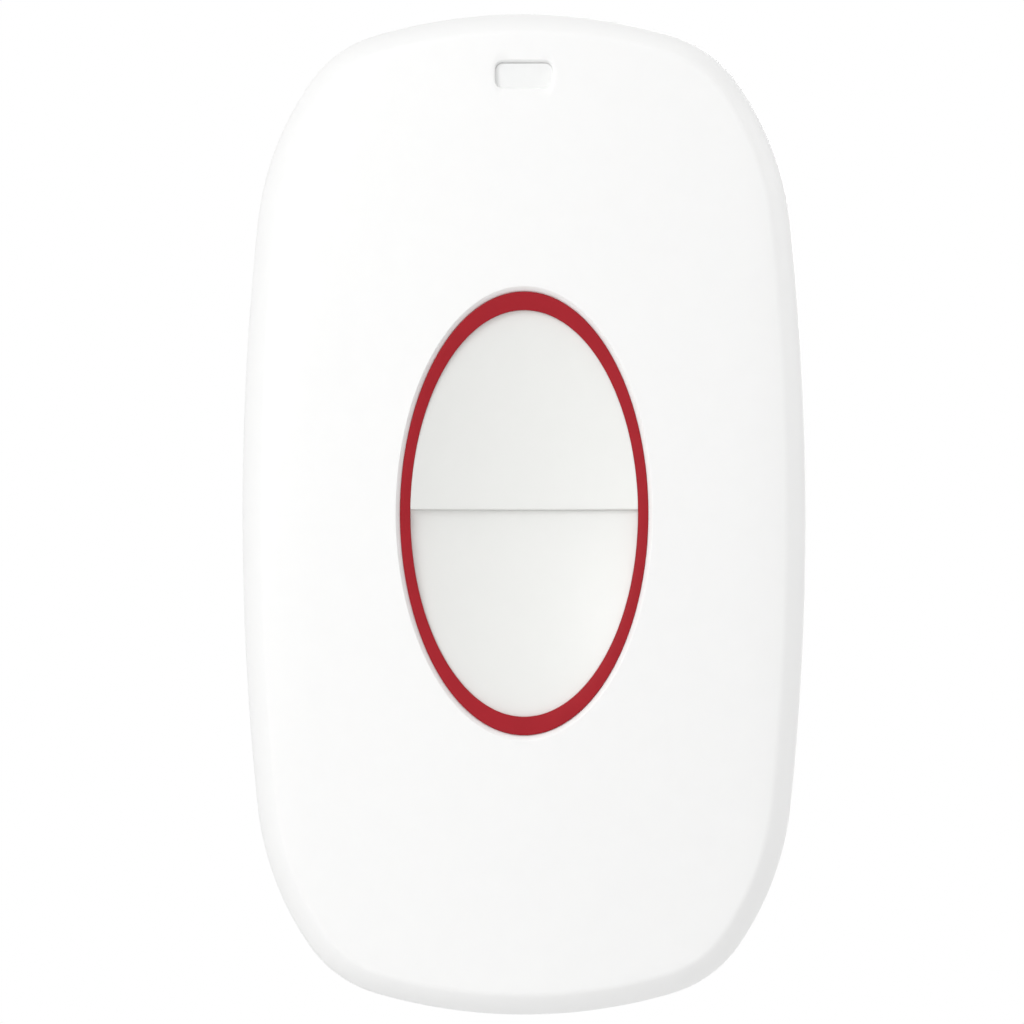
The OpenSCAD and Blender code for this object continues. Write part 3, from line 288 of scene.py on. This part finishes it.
def cut_away(target, cutter):
    """Subtracts a closed cutter from a closed body and removes the cutter."""
    mod = target.modifiers.new("cut", "BOOLEAN")
    mod.operation = "DIFFERENCE"
    mod.solver = "EXACT"
    mod.object = cutter
    dg = bpy.context.evaluated_depsgraph_get()
    me = bpy.data.meshes.new_from_object(target.evaluated_get(dg))
    target.modifiers.clear()
    old = target.data
    target.data = me
    me.name = target.name
    bpy.data.meshes.remove(old)
    bpy.data.objects.remove(cutter)
    finish_mesh(me, SHARP)


# Materials: every surface has its own fine grain, worked out from object coordinates
BUMP_DEPTH, COAT_ROUGHNESS = 0.00002, 0.15
TINT_FROM, TINT_TO = 0.3, 0.7
TINT_DETAIL, ROUGH_DETAIL, BUMP_DETAIL = 3.0, 4.0, 2.0


def grained(
    name,
    color,
    roughness,
    spread,
    grain,
    bump,
    tint,
    coat=0.0,
    metallic=0.0,
    ior=1.5,
    patches=700.0,
    stretch=None,
):
    """A material whose colour, roughness and height vary a little over the surface.

    The colour varies in patches; grain is the scale of the fine bumps.
    """
    mat = bpy.data.materials.new(name)
    mat.use_nodes = True
    nt = mat.node_tree
    shader = nt.nodes["Principled BSDF"]
    source = nt.nodes.new("ShaderNodeTexCoord").outputs["Object"]
    if stretch:
        mapping = nt.nodes.new("ShaderNodeMapping")
        mapping.inputs["Scale"].default_value = stretch
        nt.links.new(source, mapping.inputs["Vector"])
        source = mapping.outputs["Vector"]

    def noise(scale, detail):
        t = nt.nodes.new("ShaderNodeTexNoise")
        t.inputs["Scale"].default_value = scale
        t.inputs["Detail"].default_value = detail
        nt.links.new(source, t.inputs["Vector"])
        return t.outputs["Fac"]

    ramp = nt.nodes.new("ShaderNodeValToRGB")
    low, high = ramp.color_ramp.elements
    low.position, high.position = TINT_FROM, TINT_TO
    low.color = (color[0] * tint, color[1] * tint, color[2] * tint, 1)
    high.color = (*color, 1)
    nt.links.new(noise(patches, TINT_DETAIL), ramp.inputs["Fac"])
    nt.links.new(ramp.outputs["Color"], shader.inputs["Base Color"])
    rough = nt.nodes.new("ShaderNodeMapRange")
    rough.inputs["To Min"].default_value = roughness - spread
    rough.inputs["To Max"].default_value = roughness + spread
    nt.links.new(noise(patches * 2.0, ROUGH_DETAIL), rough.inputs["Value"])
    nt.links.new(rough.outputs["Result"], shader.inputs["Roughness"])
    height = nt.nodes.new("ShaderNodeBump")
    height.inputs["Strength"].default_value = bump
    height.inputs["Distance"].default_value = BUMP_DEPTH
    nt.links.new(noise(grain, BUMP_DETAIL), height.inputs["Height"])
    nt.links.new(height.outputs["Normal"], shader.inputs["Normal"])
    shader.inputs["Metallic"].default_value = metallic
    shader.inputs["IOR"].default_value = ior
    shader.inputs["Coat Weight"].default_value = coat
    shader.inputs["Coat Roughness"].default_value = COAT_ROUGHNESS
    return mat


BRUSHED = {"metallic": 1.0, "stretch": (0.15, 1.0, 1.0)}
# Colour, roughness and its spread, scale and strength of the grain, darkest tint, and the rest
SURFACES = {
    "shell_white": ((0.905, 0.905, 0.90), 0.42, 0.04, 5200.0, 0.10, 0.993, {}),
    "key_white": ((0.815, 0.82, 0.8), 0.40, 0.04, 5200.0, 0.10, 0.993, {}),
    "ring_red": ((0.367, 0.0138, 0.0224), 0.38, 0.05, 4200.0, 0.12, 0.93, {"ior": 1.25}),
    "lens_pale": ((0.89, 0.895, 0.89), 0.3, 0.04, 4000.0, 0.08, 0.97, {}),
    "seal_black": ((0.02, 0.02, 0.02), 0.7, 0.08, 3500.0, 0.3, 0.7, {}),
    "silicone_grey": ((0.3, 0.31, 0.32), 0.6, 0.06, 3000.0, 0.2, 0.9, {}),
    "moulding_black": ((0.02, 0.02, 0.021), 0.5, 0.07, 4000.0, 0.25, 0.7, {}),
    "board_green": ((0.01, 0.11, 0.045), 0.4, 0.06, 2500.0, 0.2, 0.75, {"coat": 0.3}),
    "ceramic_tan": ((0.3, 0.18, 0.1), 0.55, 0.06, 5000.0, 0.2, 0.85, {}),
    "lamp_clear": ((0.82, 0.8, 0.55), 0.12, 0.04, 3000.0, 0.1, 0.95, {"coat": 0.5}),
    "contact_metal": ((0.72, 0.55, 0.24), 0.3, 0.08, 4500.0, 0.15, 0.88, {"metallic": 1.0}),
    "steel": ((0.62, 0.63, 0.64), 0.28, 0.08, 2600.0, 0.2, 0.9, BRUSHED),
    "label_white": ((0.8, 0.8, 0.78), 0.62, 0.06, 3200.0, 0.25, 0.96, {}),
}
MATS = {name: grained(name, *look[:-1], **look[-1]) for name, look in SURFACES.items()}
NODE_SLOT = {s["node"]: s["material_slot"] for s in frame["record"]["subparts"]}
for node_name, ob in frame["nodes"].items():
    ob.data.materials.clear()
    ob.data.materials.append(MATS[NODE_SLOT[node_name]])
    for p in ob.data.polygons:
        p.use_smooth = True
    ob.data.set_sharp_from_angle(angle=math.radians(NODE_SHARP))


def place(ob, body, node):
    """Puts a shape on its body, in the place and the material of its node."""
    slot = NODE_SLOT[node]
    ob.data.materials.clear()
    ob.data.materials.append(MATS[slot])
    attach(ob, body)
    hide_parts(node)


# Front shell: the rings run out from the opening, over the face, down the side and back inside
def rim_inset(angle):
    return RIM_R * (math.cos(math.radians(RIM_LOW)) - math.cos(math.radians(angle)))


crease_inset = rim_inset(RIM_ANGLE)
crease = outline(crease_inset)
crease_z = face_z(crease)


def rim_point(angle):
    drop = RIM_R * (math.sin(math.radians(RIM_ANGLE)) - math.sin(math.radians(angle)))
    return lift(outline(rim_inset(angle)), crease_z - drop)


def opening(out):
    """Oval at a share of the broken edge, which is a little wider at the two ends."""
    return oval(OPEN_X + OPEN_EDGE_W * out, OPEN_Y + OPEN_END_GROWTH * OPEN_EDGE_W * out)


def face_ring(share, inset):
    p = (1 - share) * opening(1) + share * outline(inset)
    return lift(p, face_z(p))


def inner_ring(share):
    sleeve = oval(OPEN_X + SLEEVE, OPEN_Y + SLEEVE)
    p = (1 - share) * sleeve + share * outline(SIDE_WALL + ROOF_INSET)
    return lift(p, face_z(p) - FRONT_WALL)


def wall(pairs):
    """Rings of the outline from (inset, z) pairs."""
    return [lift(outline(inset), z) for inset, z in pairs]


rings = [lift(oval(OPEN_X, OPEN_Y), LEDGE_Z)]
for out, drop in OPEN_EDGE + OPEN_EDGE_EASE:
    p = opening(out)
    rings.append(lift(p, face_z(p) - OPEN_EDGE_D * drop))
rings += [face_ring(share, crease_inset) for share in FACE_SHARES]
rings += blend(
    face_ring(1, crease_inset + CREASE_BLEND),
    lift(crease, crease_z),
    rim_point(RIM_ANGLE - RIM_TOP_BLEND),
)
rings += [rim_point(a) for a in RIM_RINGS]
low_z = rim_point(RIM_LOW)[:, 2]
rings += blend(
    rim_point(RIM_LOW + RIM_LOW_BLEND),
    rim_point(RIM_LOW),
    lift(outline(0), low_z - SIDE_BLEND),
)
foot_z = PARTING + PARTING_GAP
rings += wall(
    [
        (0, low_z * 0.5 + 0.5 * foot_z),
        (0, foot_z + SHELL_EDGE),
        (SHELL_EDGE_MID, foot_z + SHELL_EDGE_MID),
        (SHELL_EDGE, foot_z),
        (LIP, foot_z),
        (LIP, TONGUE + TONGUE_ROOM),
        (SIDE_WALL, TONGUE + TONGUE_ROOM),
        (SIDE_WALL, crease_z - ROOF_DROP),
    ]
)
rings += [inner_ring(share) for share in (1, 0.75, 0.5, 0.25, 0)]
rings.append(lift(oval(OPEN_X + SLEEVE, OPEN_Y + SLEEVE), SLEEVE_Z))
rings.append(lift(oval(LEDGE_X, LEDGE_Y), SLEEVE_Z))
rings.append(lift(oval(LEDGE_X, LEDGE_Y), LEDGE_Z))
front = make_mesh("front_shell", [skin(rings, closed=True)])

window = rounded_rect(WINDOW_W, WINDOW_H, WINDOW_R)
window_growth = growth(WINDOW_W, WINDOW_H, WINDOW_R)
window_at = np.array([WINDOW_X, WINDOW_Y])
pane = rounded_rect(WINDOW_W - PANE_LESS_W, WINDOW_H - PANE_LESS_H, WINDOW_R - PANE_LESS_R)
pane = pane + (0.0, PANE_Y)


def on_face(shape, above):
    """A shape at the window's place, at a height above the face."""
    p = shape + window_at
    return lift(p, face_z(p) + above)


cut_rings = [lift(pane + window_at, LENS_Z - CUT_BELOW_LENS)]
cut_rings.append(on_face(pane, -LENS_SINK - LENS_SEAT))
cut_rings += [on_face(window + g * window_growth, above) for g, above in WINDOW_EDGE]
cut_away(front, make_mesh("window_cut", [skin(cut_rings)]))
place(front, "housing", "front_cover")

# Rear shell: the rings run from the floor inside, over the tongue, to the back face
rings = wall(
    [
        (SIDE_WALL, BACK_WALL),
        (SIDE_WALL, TONGUE),
        (LIP + TONGUE_GAP, TONGUE),
        (LIP + TONGUE_GAP, PARTING),
        (SHELL_EDGE, PARTING),
        (SHELL_EDGE_MID, PARTING - SHELL_EDGE_MID),
        (0, PARTING - SHELL_EDGE),
        (0, REAR_WALL_Z),
    ]
)
rings += wall([(REAR_R * (1 - math.cos(a)), REAR_R * (1 - math.sin(a))) for a in arc(12)])
rear = make_mesh("rear_shell", [skin(rings)])


def sunk(r, depth, centre, edge=0.12):
    """A round cutter whose mouth is eased."""
    mouth = [(r + edge, -0.5), (r + edge, 0), (r + 0.3 * edge, 0.3 * edge), (r, edge)]
    return lathe([*mouth, (r, depth)], 72, centre, flip=True)


def recess(size, edge, at=(0.0, 0.0)):
    """A cutter in the shape of a rounded rectangle, from (growth, depth) pairs."""
    shape, out = rounded_rect(*size), growth(*size)
    return skin([lift(shape + g * out + at, z) for g, z in edge], flip=True)


cuts = [sunk(DOOR_SEAT_R, DOOR_SEAT_D, (0, 0))]
cuts += [sunk(SCREW_SEAT_R, SCREW_SEAT_D, at) for at in SCREWS]
cuts += [sunk(BRACKET_R, BRACKET_D, (0, sy * BRACKET_Y), BRACKET_EDGE) for sy in (-1, 1)]
cuts.append(recess(POCKET, POCKET_EDGE, POCKET_AT))
cuts.append(recess(LABEL_SEAT, ((0, -0.5), (0, LABEL_SEAT_D)), LABEL_AT))
cut_away(rear, make_mesh("rear_cut", cuts))
place(rear, "housing", "rear_cover")

# Oval ring: a rounded section carried round an ellipse
in_r = RING_Y * RING_SHARE
section = [(r, LEDGE_Z + RING_FOOT_GAP) for r in (in_r, RING_Y)]
for a in arc(6):
    inward, down = RING_OUT_EDGE * (1 - math.cos(a)), RING_OUT_EDGE * (1 - math.sin(a))
    section.append((RING_Y - inward, RING_OUT_Z - down))
for a in arc(6)[::-1]:
    outward, down = RING_IN_EDGE * (1 - math.cos(a)), RING_IN_EDGE * (1 - math.sin(a))
    section.append((in_r + outward, RING_IN_Z - down))
ring = make_mesh("red_ring", [lathe(section, 320, squash=RING_X / RING_Y, closed=True, flip=True)])
place(ring, "housing", "trim_ring")


# Keys
def dish(p):
    sag = DISH_R - np.sqrt(DISH_R**2 - p[:, 0] ** 2)
    return DISH_Z + DISH_LONG_R - np.sqrt((DISH_LONG_R - sag) ** 2 - p[:, 1] ** 2)


def key_top(p, side):
    """Dished face, rounded at the seam; the lower key's eases down to it."""
    y = np.abs(p[:, 1] - SEAM_Y)
    if side > 0:
        return dish(p) - UPPER_LIP * (1 - np.clip(y / UPPER_LIP_W, 0, 1)) ** 2
    t = np.clip((y - LOWER_START) / LOWER_RISE, 0, 1)
    lip = LOWER_LIP * (1 - np.clip(y / LOWER_LIP_W, 0, 1)) ** 2
    return dish(p) - LOWER_STEP * (1 - t * t * (3 - 2 * t)) + lip


def key(name, side):
    """Half an oval, above the seam or (side -1) below: a dished grid inside a rounded edge."""
    gap = SEAM / 2 + side * SEAM_Y
    near = np.arcsin((gap + SEAM_ROWS) / KEY_Y)
    t = np.r_[near, np.linspace(near[-1], math.pi / 2 - KEY_TIP, KEY_ROWS + 1)[1:]]
    rows = len(t) - 1
    oval_wall = np.c_[KEY_X * np.cos(t), KEY_Y * np.sin(t)]
    normals = np.c_[np.cos(t) / KEY_X, np.sin(t) / KEY_Y]
    normals /= np.linalg.norm(normals, axis=1)[:, None]

    def edge(inset):
        """Right side of the oval moved inward, and moved up from the seam."""
        p = oval_wall - inset * normals
        fade = 1 - np.linspace(0, 1, rows + 1)
        p[:, 1] = np.maximum(p[:, 1], gap + inset * KEY_EDGE_AT_SEAM * fade)
        return p

    def loop(inset):
        right = edge(inset)
        left = right[::-1] * (-1, 1)
        base = np.linspace(left[-1], right[0], KEY_COLUMNS + 1)[1:-1]
        return np.vstack([right, left, base]) * (1, side)

    rings = [lift(loop(0), KEY_FOOT_Z), lift(loop(0), KEY_WALL_Z)]
    for a in arc(5):
        q = loop(KEY_EDGE * (1 - math.cos(a)))
        rings.append(lift(q, key_top(q, side) - KEY_EDGE * (1 - math.sin(a))))
    body = skin(rings, flip=side < 0, caps=(True, False))

    m = KEY_COLUMNS + 1
    u = np.linspace(0, 1, m)
    grid = [np.c_[-x + 2 * x * u, np.full(m, y)] * (1, side) for x, y in edge(KEY_EDGE)]
    top = np.vstack([lift(g, key_top(g, side)) for g in grid])
    faces = []
    for j in range(rows):
        for i in range(KEY_COLUMNS):
            faces.append((j * m + i, j * m + i + 1, (j + 1) * m + i + 1, (j + 1) * m + i))
    faces.append(tuple(rows * m + i for i in range(m)))
    if side < 0:
        faces = [f[::-1] for f in faces]

    turn = np.linspace(FLANGE_TIP, math.pi - FLANGE_TIP, 96)
    flange = np.c_[FLANGE_X * np.cos(turn), FLANGE_Y * np.sin(turn) * side]
    foot = skin([lift(flange, FLANGE_Z), lift(flange, KEY_FOOT_Z)], flip=side < 0)
    post = lathe([(POST_R, POST_Z), (POST_R, POST_TOP)], 48, (0.0, side * POST_Y))
    ob = make_mesh(name, [body, (top, faces), foot, post], KEY_SHARP)
    weld(ob)
    finish_mesh(ob.data, KEY_SHARP)
    return ob


upper = key("upper_key_cap", 1)
place(upper, "upper_key", "upper_button")
lower = key("lower_key_cap", -1)
place(lower, "lower_key", "lower_button")

# Window lens: a pane with a low crown, and the rim that holds it behind the wall
lens_top = face_z(np.array([[0.0, WINDOW_Y]]))[0] - LENS_SINK
pane = pane * LENS_FIT
pane_in = pane * LENS_EDGE
rings = [lift(pane + window_at, LENS_Z), lift(pane + window_at, lens_top)]
for share in (1, 0.7, 0.4, 0.1):
    rings.append(lift(pane_in * share + window_at, lens_top + LENS_CROWN * (1 - share)))
lens_rim = rounded_rect(WINDOW_W + 2 * LENS_RIM, WINDOW_H + 2 * LENS_RIM, WINDOW_R + LENS_RIM)
lens_rings = [lift(lens_rim + window_at, z) for z in (LENS_Z, LENS_Z + LENS_RIM_D)]
lens = make_mesh("window_lens", [skin(rings), skin(lens_rings)])
place(lens, "housing", "indicator_lens")

# Battery door: a flanged disc, turned by its coin slot
profile = [(DOOR_FACE_R, 0.0)]
for a in arc(5):
    profile.append((DOOR_R - DOOR_EDGE * (1 - math.sin(a)), DOOR_EDGE * (1 - math.cos(a))))
profile += [(DOOR_R, DOOR_FLANGE_D), *DOOR_NECK]
door = make_mesh("door_disc", [lathe(profile, 160)])
cut_away(door, make_mesh("slot_cut", [recess(COIN_SLOT, COIN_SLOT_EDGE)]))
place(door, "door", "battery_door")

# Case screws: head and shank turned from (radius, depth) pairs, with a cross socket
screw = [(0.001, 0.15), (1.35, 0.15), (1.6, 0.19), (1.75, 0.32), (1.8, 0.5), (1.8, 1.35)]
screw += [(0.96, 1.35), (0.96, 9.2), (0.6, 9.5), (0.001, 9.5)]
screws = make_mesh("screw_heads", [lathe(screw, 64, at) for at in SCREWS])


def cross(at):
    """A cutter for a cross socket that narrows as it goes in."""
    w, l = 0.2, 0.95
    arms = [(l, -w), (l, w), (w, w), (w, l), (-w, l), (-w, w)]
    p = np.array(arms + [(-x, -y) for x, y in arms])
    return skin([lift(p + at, 0.0), lift(p + at, 0.2), lift(p * 0.72 + at, 0.65)], flip=True)


cut_away(screws, make_mesh("cross_cut", [cross(at) for at in SCREWS]))
place(screws, "housing", "case_screws")

# Label
sheet = rounded_rect(*LABEL)
sheet_rings = [
    lift(sheet + LABEL_AT, LABEL_FACE_Z),
    lift(sheet * LABEL_TAPER + LABEL_AT, LABEL_UNDER_Z),
]
sticker = make_mesh("blank_label", [skin(sheet_rings, flip=True)])
place(sticker, "housing", "rating_label")

# Floor
FLOOR_SIZE, FLOOR_Z = 6.0, -0.052
bpy.ops.mesh.primitive_plane_add(size=FLOOR_SIZE, location=(0, 0, FLOOR_Z))
floor = bpy.context.object
floor.name = "floor"
floor_look = grained("floor_white", (0.9, 0.9, 0.9), 0.6, 0.04, 400.0, 0.02, 0.995, patches=6.0)
floor.data.materials.append(floor_look)

# World: white to the camera and in reflections; its light is a little dimmer from behind
DIM_FROM_Y, DIM_TO_Y, LIGHT_FRONT, LIGHT_BACK = -0.1, 0.35, 0.6, 0.503
world = bpy.data.worlds.new("studio")
bpy.context.scene.world = world
world.use_nodes = True
nodes, links = world.node_tree.nodes, world.node_tree.links
nodes.clear()
ambient = nodes.new("ShaderNodeBackground")
ambient.inputs["Strength"].default_value = 1.0
axes = nodes.new("ShaderNodeSeparateXYZ")
links.new(nodes.new("ShaderNodeTexCoord").outputs["Generated"], axes.inputs["Vector"])
light = nodes.new("ShaderNodeMapRange")
light.inputs["From Min"].default_value = DIM_FROM_Y
light.inputs["From Max"].default_value = DIM_TO_Y
light.inputs["To Min"].default_value = LIGHT_FRONT
light.inputs["To Max"].default_value = LIGHT_BACK
links.new(axes.outputs["Y"], light.inputs["Value"])
links.new(light.outputs["Result"], ambient.inputs["Color"])
backdrop = nodes.new("ShaderNodeBackground")
backdrop.inputs["Color"].default_value = (1, 1, 1, 1)
backdrop.inputs["Strength"].default_value = 1.0
path = nodes.new("ShaderNodeLightPath")
direct = path.outputs["Is Camera Ray"]
for kind in ("Is Glossy Ray", "Is Transmission Ray"):
    either = nodes.new("ShaderNodeMath")
    either.operation = "MAXIMUM"
    links.new(direct, either.inputs[0])
    links.new(path.outputs[kind], either.inputs[1])
    direct = either.outputs["Value"]
mix = nodes.new("ShaderNodeMixShader")
links.new(direct, mix.inputs["Fac"])
links.new(ambient.outputs["Background"], mix.inputs[1])
links.new(backdrop.outputs["Background"], mix.inputs[2])
world_out = nodes.new("ShaderNodeOutputWorld")
links.new(mix.outputs["Shader"], world_out.inputs["Surface"])


def look_along(ob, at, direction):
    """Puts a lamp or a camera at a point and turns it along a direction."""
    ob.location = at
    ob.rotation_mode = "QUATERNION"
    ob.rotation_quaternion = direction.to_track_quat("-Z", "Y")
    bpy.context.scene.collection.objects.link(ob)


def lamp(name, at, size, watts):
    """A square lamp aimed at the origin."""
    data = bpy.data.lights.new(name, "AREA")
    data.shape = "SQUARE"
    data.size = size
    data.energy = watts
    ob = bpy.data.objects.new(name, data)
    ob.visible_camera = False
    look_along(ob, at, Vector((0, 0, 0)) - Vector(at))


lamp("key_light", (-0.62, -0.85, 0.52), 0.6, 5.5)
lamp("top_fill", (0.2, -0.35, 1.1), 0.6, 1.35)
lamp("front_fill", (0.1, -1.2, 0.0), 0.8, 0.3)
lamp("side_fill", (1.05, 0.25, 0.35), 0.6, 2.0)
lamp("back_fill", (0.3, 1.1, 0.3), 0.5, 3.2)

# Camera: in front of the part and slightly below it; FRAME is the width that it takes in
ELEVATION, DISTANCE, FRAME, SENSOR = math.radians(-0.9), 2.4, 0.0692, 36.0
TARGET = Vector((-0.00082, -0.0065, 0.0002))
camera_data = bpy.data.cameras.new("camera")
camera_data.sensor_width = SENSOR
camera_data.lens = SENSOR * DISTANCE / FRAME
camera_data.clip_start = 0.05
camera_data.clip_end = 20.0
camera = bpy.data.objects.new("camera", camera_data)
to_camera = Vector((0.0, -math.cos(ELEVATION), math.sin(ELEVATION)))
look_along(camera, TARGET + to_camera * DISTANCE, -to_camera)
bpy.context.scene.camera = camera
bpy.context.scene.view_settings.view_transform = "Standard"
